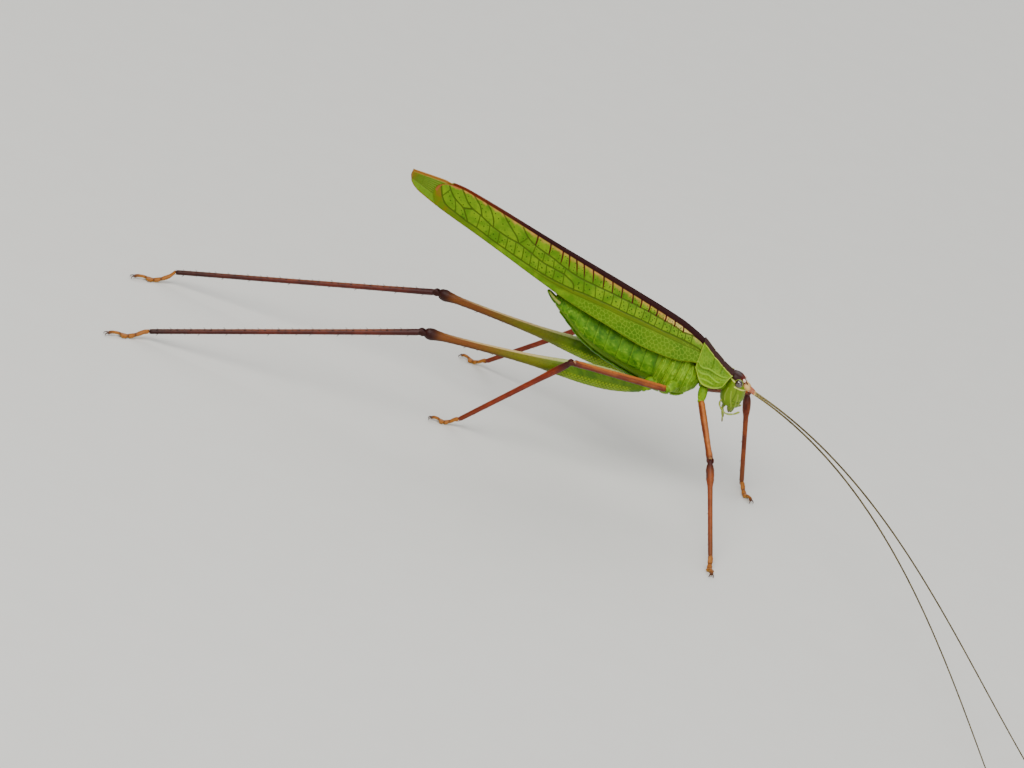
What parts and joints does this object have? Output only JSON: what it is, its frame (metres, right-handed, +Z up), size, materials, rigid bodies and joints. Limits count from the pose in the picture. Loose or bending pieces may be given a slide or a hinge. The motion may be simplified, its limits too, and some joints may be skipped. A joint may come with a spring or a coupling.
{
  "type": "long-horned grasshopper",
  "caption": "Life-size standing long-horned grasshopper (slender leaf katydid) with folded wings, long hind legs and thread-like feelers, as a still museum model.",
  "frame": {"origin": "on the floor that the six feet stand on, under the middle of the whole figure's box", "axes": "+X from the tail towards the head, +Y towards the insect's left, +Z up"},
  "size_m": [0.1032, 0.0608, 0.0234],
  "materials": {
    "body_green": "smooth, slightly waxy leaf-green cuticle",
    "abdomen_green": "soft mid-green cuticle with pale edges to the segments",
    "pronotum": "yellow-green side lobes under a dark purple-brown back stripe",
    "face_green": "pale, slightly see-through green",
    "eye": "shiny dark brown",
    "cream": "cream, faintly pink",
    "antenna": "dark olive-brown thread",
    "front_wing": "leathery yellow-green wing with dark cross-veins and a dark upper edge",
    "hind_wing": "thin yellow-green wing tip",
    "hind_femur": "green at the base, brown towards the knee",
    "front_femur": "shiny orange-brown",
    "tibia": "shiny red-brown",
    "tarsus": "orange-tan"
  },
  "bodies": {
    "root": {"pterothorax": "body_green", "abdomen": "abdomen_green", "prothorax": "body_green", "subgenital_plate": "abdomen_green", "cercus_right": "cream", "cercus_left": "cream", "pronotum": "pronotum", "head": "face_green", "eye_right": "eye", "scape_right": "cream", "antenna_right": "antenna", "eye_left": "eye", "scape_left": "cream", "antenna_left": "antenna", "labrum": "face_green", "labium": "face_green", "mandible_right": "face_green", "palp_right": "cream", "mandible_left": "face_green", "palp_left": "cream", "front_wing_right": "front_wing", "hind_wing_right": "hind_wing", "front_wing_left": "front_wing", "hind_wing_left": "hind_wing", "fore_right_coxa": "body_green", "fore_right_femur": "front_femur", "fore_right_tibia": "tibia", "fore_right_tarsus": "tarsus", "fore_left_coxa": "body_green", "fore_left_femur": "front_femur", "fore_left_tibia": "tibia", "fore_left_tarsus": "tarsus", "mid_right_coxa": "body_green", "mid_right_femur": "front_femur", "mid_right_tibia": "tibia", "mid_right_tarsus": "tarsus", "mid_left_coxa": "body_green", "mid_left_femur": "front_femur", "mid_left_tibia": "tibia", "mid_left_tarsus": "tarsus", "hind_right_coxa": "body_green", "hind_right_femur": "hind_femur", "hind_right_tibia": "tibia", "hind_right_tarsus": "tarsus", "hind_left_coxa": "body_green", "hind_left_femur": "hind_femur", "hind_left_tibia": "tibia", "hind_left_tarsus": "tarsus"}
  },
  "joints": []
}
